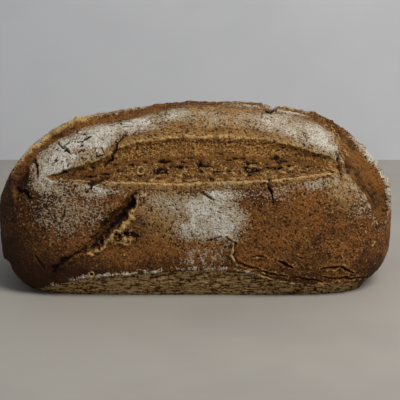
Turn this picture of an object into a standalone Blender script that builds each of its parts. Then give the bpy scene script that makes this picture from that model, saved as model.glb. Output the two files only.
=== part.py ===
"""A tin loaf: one baked loaf of bread with a flat base, full upright sides and a domed top.

The dough was cut twice before it was baked, and both cuts opened in the oven. The front score runs
along the front shoulder. The long score runs behind the crest and down both ends. The crust also tore
on the front, and on the left it hangs a little over the base.
X runs along the loaf, -Y is its front and +Z is up. The origin is the middle of the base. Metres.
"""

import math

import bmesh
import bpy
from mathutils import Vector, noise

# The baked loaf
LENGTH = 0.270
WIDTH = 0.132
HEIGHT = 0.120
WIDEST_AT = 0.044  # the height at which the sides bulge most
BASE_SHARE = 0.85  # how much of the widest outline the base keeps

# Exponents of its outline: 2 is an ellipse, and a large number is a box
PLAN_ROUNDNESS = 3.7
BASE_ROUNDNESS = 6.0  # the base kept the tin's corners more than the top did
DOME_ROUNDNESS = 2.42
SIDE_ROUNDNESS = 3.6

# The cube that it is shaped from is sliced into this many cells along X, Y and Z
CELLS = (54, 22, 19)

# Where the dough rose (+) or sank (-): a place on the loaf, how far it reaches, and by how much
RISES = (
    ((-0.056, 0.000, 0.118), 0.030, -0.0060),
    ((0.000, 0.000, 0.120), 0.040, 0.0020),
    ((-0.132, -0.020, 0.048), 0.045, 0.0038),
    ((-0.105, -0.012, 0.100), 0.024, -0.0030),
    ((0.119, -0.012, 0.088), 0.024, -0.0040),
    ((0.122, -0.050, 0.010), 0.030, -0.0040),
    ((0.050, 0.050, 0.100), 0.035, 0.0025),
)
WAVE = 0.0011  # the unevenness of a dough that was shaped by hand
WAVE_LENGTH = 0.042

# The front score: a lens between a lower and an upper lip
FRONT_SCORE_AT = -0.003  # the X of its middle
FRONT_SCORE_HALF = 0.097
FRONT_SCORE_LOW = 0.0795  # the height of its lower lip
FRONT_SCORE_CLIMB = 0.006  # how much higher that lip is at its right end
FRONT_SCORE_TALL = 0.0265
FRONT_SCORE_DEEP = 0.0062

# The long score: a band behind the crest, whose front lip swings forward as it goes down the ends
LONG_SCORE_Y = -0.006
LONG_SCORE_SWING = 0.044
LONG_SCORE_WIDE = 0.025
LONG_SCORE_DEEP = 0.0045
LONG_SCORE_SWING_TURN = math.radians(75)
LONG_SCORE_END_TURN = math.radians(94)  # from straight up; 90 degrees is the middle of an end

# The tear on the front: X and Z of its course, and half its width there
TEAR = (
    (-0.034, 0.073, 0.0025),
    (-0.049, 0.058, 0.0060),
    (-0.063, 0.041, 0.0050),
    (-0.075, 0.030, 0.0040),
    (-0.098, 0.018, 0.0025),
)
TEAR_DEEP = 0.0050

# The crust overhangs the base at the left end
OVERHANG = 0.004
OVERHANG_AT = 0.020
OVERHANG_FROM = 0.100


def clear_scene():
    for old in list(bpy.data.objects):
        bpy.data.objects.remove(old)


def smooth(value):
    """Eases from 0 to 1 as the value goes from 0 to 1."""
    value = min(max(value, 0.0), 1.0)
    return value * value * (3 - 2 * value)


def slice_box(bm, axis, cells):
    """Cuts every edge that runs along one axis into equal lengths."""
    along = []
    for edge in bm.edges:
        run = edge.verts[1].co - edge.verts[0].co
        if abs(run[axis]) > 0.5 * run.length:
            along.append(edge)
    bmesh.ops.subdivide_edges(bm, edges=along, cuts=cells - 1, use_grid_fill=True)


def risen(point):
    """Carries a point of the cube from -1 to 1 to the outline of the risen dough."""
    roundness = DOME_ROUNDNESS if point.z > 0 else SIDE_ROUNDNESS
    under = WIDEST_AT / (1 - BASE_SHARE**SIDE_ROUNDNESS) ** (1 / SIDE_ROUNDNESS)
    tall = HEIGHT - WIDEST_AT if point.z > 0 else under
    corners = PLAN_ROUNDNESS + (BASE_ROUNDNESS - PLAN_ROUNDNESS) * smooth(-point.z)
    plan = abs(point.x) ** corners + abs(point.y) ** corners
    reach = (plan ** (roundness / corners) + abs(point.z) ** roundness) ** (1 / roundness)
    outline = Vector((point.x * LENGTH / 2, point.y * WIDTH / 2, point.z * tall)) / reach
    return outline + Vector((0, 0, WIDEST_AT))


def rise_at(point):
    """How far the dough stands out at a place, from its rises and its slow waves."""
    out = WAVE * noise.noise(point / WAVE_LENGTH)
    for place, reach, much in RISES:
        away = (point - Vector(place)).length / reach
        out += much * math.exp(-away * away)
    return out


def front_score_depth(point):
    along = (point.x - FRONT_SCORE_AT) / FRONT_SCORE_HALF
    if point.y > 0 or abs(along) >= 1:
        return 0.0
    low = FRONT_SCORE_LOW + FRONT_SCORE_CLIMB * smooth(along)
    tall = FRONT_SCORE_TALL * (1 - abs(along) ** 3)
    across = min(max((point.z - low) / tall, 0.0), 1.0)
    return FRONT_SCORE_DEEP * math.sin(math.pi * across**1.5) * smooth(3 * (1 - abs(along)))


def long_score_depth(point):
    turn = abs(math.atan2(point.x, point.z - WIDEST_AT))
    if turn >= LONG_SCORE_END_TURN:
        return 0.0
    lip = LONG_SCORE_Y - LONG_SCORE_SWING * min(turn / LONG_SCORE_SWING_TURN, 1.0) ** 3
    wide = LONG_SCORE_WIDE * (1 - (turn / LONG_SCORE_END_TURN) ** 3)
    across = min(max((point.y - lip) / wide, 0.0), 1.0)
    return LONG_SCORE_DEEP * math.sin(math.pi * across) * smooth(4 * (1 - turn / LONG_SCORE_END_TURN))


def tear_depth(point):
    if point.y > 0:
        return 0.0
    deepest = 0.0
    for start, end in zip(TEAR, TEAR[1:]):
        run_x, run_z = end[0] - start[0], end[1] - start[1]
        share = (point.x - start[0]) * run_x + (point.z - start[1]) * run_z
        share = min(max(share / (run_x * run_x + run_z * run_z), 0.0), 1.0)
        off = math.hypot(point.x - start[0] - share * run_x, point.z - start[1] - share * run_z)
        half_width = start[2] + share * (end[2] - start[2])
        deepest = max(deepest, smooth(1 - off / (1.6 * half_width)) * half_width / TEAR[1][2])
    return TEAR_DEEP * deepest


def overhang_shift(point):
    """How far the base draws back under the crust at the left end."""
    below = smooth((OVERHANG_AT + 0.004 - point.z) / 0.008)
    return OVERHANG * below * smooth((-point.x - OVERHANG_FROM) / 0.025)


def opening_depth(point):
    """How deep the scores or the tear are at a place on the uncut dough."""
    return max(front_score_depth(point), long_score_depth(point), tear_depth(point))


def bake_surface(bm):
    """Raises the dough, opens its scores and its tear, and evens out the steps that the cells leave there."""
    bm.normal_update()
    opened = []
    for vertex in bm.verts:
        point = vertex.co.copy()
        depth = opening_depth(point)
        vertex.co += vertex.normal * (rise_at(point) - depth)
        vertex.co.x += overhang_shift(point)
        if depth > 0:
            opened.append(vertex)
    bmesh.ops.smooth_vert(bm, verts=opened, factor=0.5, use_axis_x=True, use_axis_y=True, use_axis_z=True)


def cut_base_flat(bm):
    """Cuts the loaf off at its base and closes it with one flat face."""
    everything = bm.verts[:] + bm.edges[:] + bm.faces[:]
    bmesh.ops.bisect_plane(bm, geom=everything, plane_co=(0, 0, 0), plane_no=(0, 0, 1), clear_inner=True)
    rim = [edge for edge in bm.edges if edge.is_boundary]
    bmesh.ops.contextual_create(bm, geom=rim)
    bmesh.ops.recalc_face_normals(bm, faces=bm.faces[:])


def fit_to_size(bm):
    """Stretches the loaf the last little way to its real length, width and height."""
    for axis, side in enumerate((LENGTH, WIDTH, HEIGHT)):
        places = [vertex.co[axis] for vertex in bm.verts]
        low, high = min(places), max(places)
        start = 0.0 if axis == 2 else -side / 2
        for vertex in bm.verts:
            vertex.co[axis] = start + (vertex.co[axis] - low) * side / (high - low)


def crust_material():
    """Dark rye crust, dusted with flour: matt, warm brown."""
    material = bpy.data.materials.new("floured_rye_crust")
    material.use_nodes = True
    shader = material.node_tree.nodes["Principled BSDF"]
    shader.inputs["Base Color"].default_value = (0.14, 0.065, 0.026, 1)
    shader.inputs["Roughness"].default_value = 0.8
    shader.inputs["Metallic"].default_value = 0.0
    return material


def make_loaf():
    bm = bmesh.new()
    bmesh.ops.create_cube(bm, size=2)
    for axis, cells in enumerate(CELLS):
        slice_box(bm, axis, cells)
    for vertex in bm.verts:
        vertex.co = risen(vertex.co)
    bake_surface(bm)
    cut_base_flat(bm)
    fit_to_size(bm)
    mesh = bpy.data.meshes.new("loaf")
    bm.to_mesh(mesh)
    bm.free()
    mesh.materials.append(crust_material())
    mesh.shade_smooth()
    loaf = bpy.data.objects.new("loaf", mesh)
    bpy.context.scene.collection.objects.link(loaf)


clear_scene()
make_loaf()
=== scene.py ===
# %% [markdown]
# # A floured rye loaf from a tin
#
# The real loaf is dark rye bread, baked in a long tin. Its dough was dusted with flour and cut twice with
# a blade, and the cuts opened in the oven. This script makes it as a baker would read it: first the dough
# as it fills the tin, then what the oven did to it, then its crust, its crumb and its flour.
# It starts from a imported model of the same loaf, which says how big it is and where it stands.

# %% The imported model, and its size
import math

import bmesh
import bpy
import numpy as np
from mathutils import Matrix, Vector, noise


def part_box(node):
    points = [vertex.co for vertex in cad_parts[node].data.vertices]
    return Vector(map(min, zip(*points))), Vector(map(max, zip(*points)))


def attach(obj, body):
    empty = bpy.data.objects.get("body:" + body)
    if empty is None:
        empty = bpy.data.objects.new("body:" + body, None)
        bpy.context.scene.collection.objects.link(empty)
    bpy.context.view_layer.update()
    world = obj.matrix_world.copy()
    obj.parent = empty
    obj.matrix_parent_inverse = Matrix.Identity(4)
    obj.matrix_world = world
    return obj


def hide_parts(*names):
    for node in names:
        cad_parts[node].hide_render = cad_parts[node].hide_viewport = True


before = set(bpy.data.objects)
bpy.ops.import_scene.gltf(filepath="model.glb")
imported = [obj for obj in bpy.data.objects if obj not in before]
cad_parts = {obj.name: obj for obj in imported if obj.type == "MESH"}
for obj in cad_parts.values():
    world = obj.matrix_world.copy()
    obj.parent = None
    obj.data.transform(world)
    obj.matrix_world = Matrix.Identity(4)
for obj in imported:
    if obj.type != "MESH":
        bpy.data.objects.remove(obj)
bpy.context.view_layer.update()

low_corner, high_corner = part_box("loaf")
LENGTH, WIDTH, HEIGHT = (high_corner - low_corner) * 1000
print(f"the packed loaf is {LENGTH:.0f} x {WIDTH:.0f} x {HEIGHT:.0f} mm")

# %% [markdown]
# ## The dough
#
# A loaf from a tin is a box with soft corners: a flat base, sides that bulge where the tin ended, and a
# dome. One formula gives all of it. A superellipse is a circle whose exponent isn't 2: a higher one pushes
# its corners out towards a box. Every point of a plain cube is carried to that shape, so the loaf keeps the
# cube's neat grid of quads, which sculpting and texture maps both like.
# All shaping here is in millimetres, and the finished mesh is in metres.

# %% The outline of the risen dough
WIDEST_AT = 0.367 * HEIGHT
BASE_SHARE = 0.85  # how much of the widest outline the base keeps
PLAN_ROUNDNESS = 3.7
BASE_ROUNDNESS = 6.0
DOME_ROUNDNESS = 2.42
SIDE_ROUNDNESS = 3.6


def ease(value):
    """Goes smoothly from 0 to 1 as the value does, and stays there outside."""
    value = np.clip(value, 0.0, 1.0)
    return value * value * (3 - 2 * value)


def risen(cube):
    """Carries points of a cube from -1 to 1 to the outline of the risen dough."""
    x, y, z = cube.T
    corners = PLAN_ROUNDNESS + (BASE_ROUNDNESS - PLAN_ROUNDNESS) * ease(-z)
    ring = np.maximum((abs(x) ** corners + abs(y) ** corners) ** (1 / corners), 1e-9)
    under = WIDEST_AT / (1 - BASE_SHARE**SIDE_ROUNDNESS) ** (1 / SIDE_ROUNDNESS)
    below = np.clip(-z, 0, 1) * WIDEST_AT
    spread = (1 - (below / under) ** SIDE_ROUNDNESS) ** (1 / SIDE_ROUNDNESS)
    spread = spread * np.maximum(abs(x), abs(y)) / ring
    above = np.clip(z, 0, 1)
    reach = (ring**DOME_ROUNDNESS + above**DOME_ROUNDNESS) ** (1 / DOME_ROUNDNESS)
    share = np.where(z < 0, spread, 1 / np.maximum(reach, 1e-9))
    height = np.where(z < 0, WIDEST_AT - below, WIDEST_AT + (HEIGHT - WIDEST_AT) * above / reach)
    return np.stack([x * share * LENGTH / 2, y * share * WIDTH / 2, height], axis=1)


# %% Helpers that read patterns and courses on the loaf
def rough(points, size, seed=0, detail=3):
    """Unevenness from about -1 to 1, whose bumps are about this many millimetres across."""
    shift = Vector((17.3, -9.1, 5.7)) * seed
    return np.array([noise.fractal(Vector(p) / size + shift, 1.0, 2.0, detail) for p in points])


def cells(points, size, seed=0):
    """Distance to the nearest of many scattered spots, in spot spacings."""
    shift = Vector((3.1, 8.7, -6.3)) * seed
    return np.array([noise.voronoi(Vector(p) / size + shift)[0][0] for p in points])


def along_course(x, z, course):
    """Distance to a course of (x, z, half width) points, the half width there, and the side, all in mm."""
    best = np.full(len(x), 1e9)
    wide = np.ones(len(x))
    side = np.zeros(len(x))
    for (ax, az, aw), (bx, bz, bw) in zip(course, course[1:]):
        run_x, run_z = bx - ax, bz - az
        share = np.clip(((x - ax) * run_x + (z - az) * run_z) / (run_x**2 + run_z**2), 0, 1)
        off_x, off_z = x - ax - share * run_x, z - az - share * run_z
        off = np.hypot(off_x, off_z)
        nearer = off < best
        best = np.where(nearer, off, best)
        wide = np.where(nearer, aw + share * (bw - aw), wide)
        side = np.where(nearer, np.sign(run_x * off_z - run_z * off_x), side)
    return best, wide, side


# %% [markdown]
# ## Where the oven opened the loaf
#
# A baker's cut opens into a lens: the dough under it rises, and the crust above it lifts into a lip. The
# front score runs along the front shoulder. The long score runs behind the crest, and swings forward as it
# goes down both ends. The front crust also tore, where the dough pushed harder than the scores let it.
# Each of these is a course on the surface, given in millimetres from the middle of the base.

# %% The courses of the two scores and the tear
# (along the loaf, height) of the two lips of the front score
FRONT_UPPER = [(-101, 80), (-93, 82.5), (-85, 86), (-73, 90), (-62, 93.5), (-57, 97), (-48, 101),
               (-35, 104.5), (-12, 106.5), (22, 106.5), (42, 105.5), (56, 103.5), (69, 101), (81, 96.5),
               (89, 93), (95, 88.5)]
FRONT_LOWER = [(-101, 80), (-81, 79.5), (-54, 79), (-11, 78.5), (30, 79.5), (49, 80.5), (64, 81.5), (79, 83),
               (95, 84)]

# (turn from straight up in degrees, place from front to back) of the two lips of the long score
LONG_FRONT = [(-82, -51), (-73, -47), (-69, -40), (-65, -31), (-60, -27), (-54, -22), (-48, -9), (-42, -3),
              (-30, 0), (-12, 3), (15, 2), (40, 3), (50, 0), (55, -12), (58, -27), (62, -43), (68, -51),
              (76, -52), (84, -51), (90, -47)]
LONG_BACK = [(-82, -48), (-75, -38), (-71, -28), (-67, -10), (-62, 2), (-57, 5), (-50, 10), (-40, 16),
             (-25, 22), (-8, 26), (20, 28), (40, 27), (52, 20), (60, 10), (66, -4), (70, -15), (74, -27),
             (80, -37), (90, -43)]

# (along, height, half width) of the tear, from its top down to the left
TEAR = [(-37, 73, 0.4), (-40, 70, 1.8), (-43, 66, 3.2), (-47, 60.5, 4.4), (-53, 54, 5.2), (-60, 47.5, 5.2),
        (-65, 40, 4.0), (-70, 34.5, 2.4), (-75, 31.8, 1.4), (-81.5, 31, 1.2), (-88, 26.5, 1.5),
        (-93, 22, 1.7), (-96, 17.5, 1.0)]

# %% The courses of the cracks
# on the front and the shoulders: (deepest, [(along, height, half width), ...])
CRACKS = [
    (2.6, [(47, 81, 1.1), (48, 76, 1.2), (50, 71, 0.8), (51.5, 64, 0.4)]),
    (1.6, [(4, 73, 0.5), (8, 70, 0.8), (12, 68, 0.5)]),
    (2.6, [(-46, 107, 0.5), (-50, 103, 1.0), (-54, 99, 1.5), (-58, 94, 1.3), (-60, 90, 0.6)]),
    (2.4, [(-58, 82.5, 1.2), (-63, 80.5, 1.8), (-67, 77.5, 1.9), (-71, 73, 1.0), (-73, 70, 0.4)]),
    (2.0, [(93, 95, 0.6), (94, 90, 1.2), (94.5, 85, 1.4), (96, 80.5, 0.8)]),
    (1.3, [(20, 43, 0.4), (26.5, 39, 0.7), (25, 31, 0.7), (27.5, 26, 0.8), (33, 23.5, 0.9), (42, 21, 0.5)]),
    (1.6, [(8, 41, 0.4), (13, 42.5, 0.8), (18, 44, 0.4)]),
    (1.2, [(38, 29, 0.3), (43, 30.5, 0.6), (47, 28, 0.3)]),
    (2.2, [(54, 27, 0.5), (59, 24.5, 1.1), (64, 21.5, 0.6)]),
    (1.3, [(66, 30, 0.3), (70, 28.5, 0.6), (73, 29, 0.3)]),
    (2.0, [(83, 20, 0.4), (89, 21.5, 0.9), (97, 20.5, 1.0), (105, 16, 0.4)]),
    (1.6, [(85, 14.5, 0.4), (92, 12.8, 0.8), (99, 13, 0.7), (106, 12, 0.8), (114, 11, 0.4)]),
    (1.8, [(66, 15, 0.4), (72, 13.5, 1.0), (80, 12.5, 0.9), (84, 11, 0.4)]),
    (1.2, [(44, 19.5, 0.4), (52, 17.5, 0.8), (60, 15.5, 0.4)]),
    (1.4, [(-107, 30, 0.4), (-104, 25, 0.6), (-101, 21, 0.4)]),
    (1.5, [(-85, 64, 0.4), (-87, 59, 0.9), (-90, 54, 0.4)]),
    (2.4, [(-121, 71, 0.6), (-118, 69, 2.0), (-114.5, 70.5, 1.0), (-111, 67.5, 2.2), (-108, 66, 0.7)]),
    (2.2, [(-110, 92, 0.4), (-107, 88, 1.1), (-105, 83, 0.9), (-104, 78, 0.4)]),
    (1.3, [(-79, 77, 0.3), (-80, 72, 0.6), (-80.5, 68, 0.3)]),
    (1.6, [(-93, 99, 0.3), (-88, 97, 0.8), (-83, 95.5, 0.5)]),
    (1.4, [(-30, 112, 0.4), (-24, 113.5, 0.9), (-19, 113, 0.4)]),
    (1.3, [(-7, 108, 0.5), (-5, 111, 0.7), (-3, 113, 0.3)]),
    (1.4, [(70, 108, 0.3), (72, 105, 0.7), (75, 104, 0.3)]),
]
# the same, for cracks that are best placed from above: (along, front to back, half width)
TOP_CRACKS = [
    (5.2, [(44, -24, 0.5), (47, -17, 1.5), (51, -8, 2.8), (54, 2, 3.4), (56, 10, 2.6)]),
    (1.6, [(-80, -27, 0.4), (-74, -33, 0.9), (-68, -35, 0.4)]),
    (1.4, [(-36, -30, 0.4), (-30, -24, 0.9), (-26, -25, 0.6), (-20, -19, 0.4)]),
    (1.4, [(12, -24, 0.4), (17, -21, 0.9), (24, -22, 0.3)]),
    (2.0, [(-60, 42, 0.4), (-40, 46, 1.3), (-22, 43, 0.8), (-8, 47, 0.4)]),
    (1.8, [(30, 44, 0.4), (44, 40, 1.2), (60, 43, 0.5)]),
    (1.8, [(-20, 33, 0.4), (-14, 40, 1.0), (-16, 47, 0.4)]),
]
# on the back: (deepest, [(along, height, half width), ...])
BACK_CRACKS = [
    (2.4, [(-70, 62, 0.5), (-58, 66, 1.4), (-44, 63, 1.8), (-30, 67, 0.6)]),
    (2.0, [(40, 74, 0.5), (44, 64, 1.3), (41, 55, 0.9), (46, 47, 0.4)]),
    (1.8, [(-10, 30, 0.4), (8, 26, 1.2), (24, 29, 0.5)]),
    (1.8, [(70, 30, 0.4), (84, 25, 1.3), (97, 27, 0.5)]),
]
# the cleft across the crest, from above: (along, front to back, half width)
CLEFT = [(47, -14, 0.8), (51.5, -3, 3.0), (49.5, 7, 1.8), (53, 16, 2.2), (52, 25, 3.6), (53, 31, 2.6),
         (57, 39, 0.5)]

# %% The flakes, the burst bubbles and the seam
# flakes of crust that stand off the skin: (along, height, half width)
FLAKES = [[(112.6, 42, 0.4), (113.6, 46.5, 0.8)], [(117, 47.5, 0.5), (120, 50.5, 0.4)],
          [(117.6, 33, 0.5), (120, 35.5, 0.4)], [(-97, 48, 0.5), (-94, 50, 0.4)],
          [(-52, 70, 0.4), (-49, 72, 0.6)],
          [(31, 47, 0.4), (35, 45.5, 0.5)], [(88, 57, 0.3), (90, 59.5, 0.4)], [(2, 29, 0.4), (6, 31, 0.6)],
          [(21, 44, 0.5), (24.3, 42, 1.0), (24.5, 36, 0.7), (23.3, 31, 0.9), (25.8, 26, 0.6)],
          [(-36, 70, 0.6), (-33, 71, 0.9), (-31, 68, 0.4)]]
BURST_BUBBLES = [(-69, 17.5, 1.6), (-36, 87, 2.4)]  # along, height and radius of the ring
# the seam where the crust bulges over the part that stood in the tin: (along, height)
SEAM = [(-112, 3), (-102, 5), (-86, 11), (-74, 14), (-48, 17), (-21, 19), (0, 20.5), (22, 20), (33, 18.5),
        (49, 13.5), (60, 10), (74, 8), (96, 9), (112, 8)]


# %% Reading a course
def curve(points):
    """A row of pairs as the two rows of numbers that np.interp wants."""
    return np.array(points, float).T


def turn_of(points):
    """How far round the loaf a point is from straight up, in degrees: -90 is the left end, 90 the right."""
    return np.degrees(np.arctan2(points[:, 0], points[:, 2] - WIDEST_AT))


# %% [markdown]
# ## A grid that is fine where it has to be
#
# A crack is one millimetre wide and the loaf is 270. One even grid fine enough for the crack would need
# millions of faces. So the cube is sliced into cells of about 2.6 mm, the cells that face the front are
# halved, and those along the scores, the tear and the cracks are halved again. It is done while the shape
# is still a cube, because there a halved cell lies exactly in its face, and the formula then bends them all.

# %% Slice a cube evenly
CELL = 2.6


def slice_cube(bm, axis, count):
    """Cuts every edge that runs along one axis into equal lengths, and all the faces between them."""
    along = []
    for edge in bm.edges:
        run = edge.verts[1].co - edge.verts[0].co
        if abs(run[axis]) > 0.5 * run.length:
            along.append(edge)
    bmesh.ops.subdivide_edges(bm, edges=along, cuts=count - 1, use_grid_fill=True)


cube = bmesh.new()
bmesh.ops.create_cube(cube, size=2)
for axis, side in enumerate((LENGTH, WIDTH, HEIGHT)):
    slice_cube(cube, axis, round(side / CELL))
print(f"the even grid has {len(cube.faces)} faces")


# %% Say which parts of the skin need finer cells
def facing_front(points):
    """Which points of the risen dough are on the front, the crest or the front of an end."""
    x, y, z = points.T
    return (z > 1) & ((y < -8) | ((z > WIDEST_AT) & (y < 6)) | ((abs(x) > 122) & (y < 10)))


def near_opening(points):
    """Which points lie along a score, the tear, a crack, a flake, a bubble or the seam."""
    x, y, z = points.T
    turn = turn_of(points)

    def beside(course, second, margin):
        off, wide, _ = along_course(x, second, course)
        return off < wide + margin

    low = np.interp(x, *curve(FRONT_LOWER))
    high = np.interp(x, *curve(FRONT_UPPER))
    fine = (y < -25) & (abs(x + 3) < 101) & (z > low - 3) & (z < high + 3.5)
    lip = np.interp(turn, *curve(LONG_FRONT))
    far_lip = np.interp(turn, *curve(LONG_BACK))
    fine |= (np.minimum(abs(y - lip), abs(y - far_lip)) < 2.6) & (turn > -84) & (turn < 92)
    fine |= (y < -20) & beside(TEAR, z, 4.5)
    for _, course in CRACKS:
        fine |= (y < -10) & beside(course, z, 1.6)
    for _, course in TOP_CRACKS:
        fine |= (z > 80) & beside(course, y, 1.4)
    for _, course in BACK_CRACKS:
        fine |= (y > 20) & beside(course, z, 1.6)
    for course in FLAKES:
        fine |= (y < -20) & beside(course, z, 1.2)
    for along, up, radius in BURST_BUBBLES:
        fine |= (y < -30) & (np.hypot(x - along, z - up) < radius + 1.2)
    seam = np.interp(x, *curve(SEAM))
    return fine | ((y < -30) & (abs(z - seam) < 1.8) & (abs(x) < 112))


# %% Halve those cells
def halve_cells(bm, wanted):
    """Halves every face whose middle, on the risen dough, is where it is wanted."""
    bm.faces.ensure_lookup_table()
    middles = np.array([face.calc_center_median() for face in bm.faces])
    chosen = wanted(risen(middles))
    edges = {edge for face, take in zip(bm.faces, chosen) if take for edge in face.edges}
    bmesh.ops.subdivide_edges(bm, edges=list(edges), cuts=1, use_grid_fill=True)


halve_cells(cube, facing_front)
halve_cells(cube, near_opening)
loaf_mesh = bpy.data.meshes.new("loaf_crust")
cube.to_mesh(loaf_mesh)
cube.free()
on_cube = np.empty(len(loaf_mesh.vertices) * 3)
loaf_mesh.vertices.foreach_get("co", on_cube)
on_cube = on_cube.reshape(-1, 3)
on_base = on_cube[:, 2] < -0.999
print(f"the grid now has {len(loaf_mesh.polygons)} faces")

# %% [markdown]
# ## Let the dough rise
#
# No loaf rises evenly. A few broad swellings and hollows, each a soft bump with a place, a reach and a
# height, take the formula's evenness away. Then the loaf is fitted to its real size again.
# Blender's own vertex normals say which way is out at every point: the oven pushed the crust that way.

# %% Broad swellings, and the way out at every point
# (place, how far it reaches, how high it rises, or sinks if below 0)
RISES = [((-56, 0, 118), 30, -6.0), ((0, 0, 120), 40, 2.0), ((-132, -20, 48), 45, 3.8),
         ((-105, -12, 100), 24, -3.0), ((119, -12, 88), 24, -4.0), ((122, -50, 10), 30, -4.0),
         ((50, 50, 100), 35, 2.5), ((70, -14, 114), 16, 1.8)]


def put_in_scene(name, data):
    made = bpy.data.objects.new(name, data)
    bpy.context.scene.collection.objects.link(made)
    return made


def set_points(mesh, points):
    mesh.vertices.foreach_set("co", (points / 1000).ravel())
    mesh.update()


def normals_of(mesh):
    out = np.empty(len(mesh.vertices) * 3)
    mesh.vertex_normals.foreach_get("vector", out)
    return out.reshape(-1, 3)


skin = risen(on_cube)
set_points(loaf_mesh, skin)
swelling = 1.1 * rough(skin, 42, detail=0)
for place, reach, high in RISES:
    swelling += high * np.exp(-(np.linalg.norm(skin - place, axis=1) / reach) ** 2)
skin += normals_of(loaf_mesh) * swelling[:, None]
skin[on_base, 2] = 0
for axis, (start, side) in enumerate(((-LENGTH / 2, LENGTH), (-WIDTH / 2, WIDTH), (0, HEIGHT))):
    low, high = skin[:, axis].min(), skin[:, axis].max()
    skin[:, axis] = start + (skin[:, axis] - low) * side / (high - low)
set_points(loaf_mesh, skin)
outward = normals_of(loaf_mesh)
x, y, z = skin.T
turn = turn_of(skin)
print(f"the dough fills {np.ptp(x):.0f} x {np.ptp(y):.0f} x {np.ptp(z):.0f} mm")

# %% [markdown]
# ## The skin, and what is painted on it
#
# Each step below adds to one number for every point, its height over the smooth dough, and paints a few
# layers between 0 and 1 that the finish reads later, so shape and colour can't drift apart. Crumb is torn
# bread, and satin is the young crust inside a score. Lip and toast are browned edges. Painted shade is the
# dark painted into whatever is deep, where shade falls. Base is the foot. Flour, the bake with its painted
# shade, and the plates come last.
# Numbers in these formulas are millimetres, unless a value is a share from 0 to 1.

# %% The rough skin
ROUGH_SKIN = [(0.50, 17, 1), (0.28, 5.5, 2), (0.20, 2.3, 3)]  # (how high, how far across, seed)
ROUGH_TOP = [(0.55, 8, 17), (0.55, 3.6, 25)]  # the top split more than the sides
height = sum(high * rough(skin, size, seed) for high, size, seed in ROUGH_SKIN)
height += sum(high * rough(skin, size, seed) for high, size, seed in ROUGH_TOP) * ease((z - 60) / 30)
slide = np.zeros_like(skin)  # how far a point also moves sideways
painted = {layer: np.zeros(len(skin)) for layer in ("crumb", "lip", "toast", "painted_shade", "satin", "flour", "base")}
front = (y < -20).astype(float)


def lay(layer, amount):
    """Paints a layer wherever the new amount is more than what is there."""
    painted[layer] = np.maximum(painted[layer], amount)


def band(value, middle, reach):
    """A soft band: 1 where the value is at the middle, and nearly 0 at twice the reach."""
    return np.exp(-(((value - middle) / reach) ** 2))


def spot(first, second, at, reach):
    """A flat-topped spot from 0 to 1 round a place, with a reach along each of two directions."""
    return np.exp(-((((first - at[0]) / reach[0]) ** 2 + ((second - at[1]) / reach[1]) ** 2) ** 1.4))


# %% Patterns that the openings share
jag = 0.75 * rough(skin, 5, 4) + 0.45 * rough(skin, 1.8, 5)  # moves an edge in and out
ragged = 1.0 * rough(skin, 4.5, 10) + 0.6 * rough(skin, 1.7, 11)  # the same, for wilder edges
uneven = np.clip(0.5 + 0.8 * rough(skin, 3.4, 18), 0, 1)  # makes an edge come and go
strands = skin * (0.33, 1, 1)  # crumb stretches along a score as it opens
tangle = 0.9 * rough(strands, 2.6, 6) + 0.5 * rough(strands, 1.2, 7)
pores = ease((0.44 - cells(strands, 3.1, 8)) / 0.22) * ease(0.3 + 1.6 * rough(skin, 6, 19))
caves = ease((0.42 - cells(strands * (0.9, 1, 1), 5.6, 31)) / 0.14) * ease(0.5 + 2.4 * rough(skin, 9, 33))
pores = np.maximum(pores, caves)
print(f"pores and caves take {pores.mean():.0%} of any crumb")

# %% [markdown]
# ## The front score
#
# A blade held flat lifts a flap of crust, and the dough under it tears into strands with long holes. The
# wall under the flap opened late, so it bakes as a young, smooth crust, and the two lips stand out and brown
# first. All of it follows one measure: how far across the score a point is, from 0 at the lower lip to 1 at
# the upper. A profile turns that measure into depth, and soft bands on it paint the lips.

# %% Open the front score
low = np.interp(x, *curve(FRONT_LOWER))
high = np.interp(x, *curve(FRONT_UPPER))
tall = np.maximum(high - low, 0.2)
across = (z + 0.8 * jag - low) / tall
open_here = front * ease((x + 102) / 5) * ease((96.5 - x) / 2.5)
shallow = open_here * np.minimum(tall / 17, 1)  # its narrow ends are shallow too
# (share of the way across, height over the skin)
FRONT_PROFILE = [(-0.2, 0), (-0.04, 0.35), (0, 0.6), (0.04, -0.2), (0.1, -1.5), (0.3, -3.2), (0.5, -4.9),
                 (0.62, -6.3), (0.72, -6.9), (0.84, -6.1), (0.93, -4.0), (0.985, -0.6), (1.01, 0.4),
                 (1.06, 0.3), (1.25, 0)]
height += shallow * np.interp(across, *curve(FRONT_PROFILE))
slide[:, 2] -= 1.5 * shallow * band(across, 1.0, 0.06)  # the upper lip hangs a little
inside = open_here * ease((across + 0.01) / 0.05) * ease((1.02 - across) / 0.05)
inside_scores = inside.copy()

# %% Paint its crumb, its young crust and its lips
ragged_edge = across + 0.22 * rough(strands, 3.5, 20)
left_lobe = 0.35 + 0.65 * ease((x + 60) / 6)
torn = open_here * ease((ragged_edge - 0.03) / 0.1) * ease((0.95 - ragged_edge) / 0.6) * left_lobe
lay("crumb", torn)
lay("satin", inside * ease((across - 0.5) / 0.2))
lay("lip", (0.5 + 0.6 * uneven) * open_here * band(across, 1.005, 0.03))
lay("lip", 0.95 * open_here * band(across, -0.015, 0.04))
golden_floor = open_here * band(across, 0.08, 0.08) * ease((x + 62) / 10)
lay("lip", 0.5 * golden_floor * (0.4 + uneven))
overhang = open_here * ease((-58 - x) / 10) * band(across, 0.8, 0.25)
# painted shade under the overhanging upper lip at the left, and over the score's left lobe
lay("painted_shade", 0.7 * overhang * (0.4 + uneven))
lay("painted_shade", 0.55 * inside * ease((-60 - x) / 8) * (0.25 + uneven))
lay("lip", 0.9 * overhang * ease((tangle - 0.25) / 0.2))
lay("toast", 1.25 * open_here * ease(1.5 - abs(across - 0.5) * 1.75) * (1 - inside))
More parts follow.
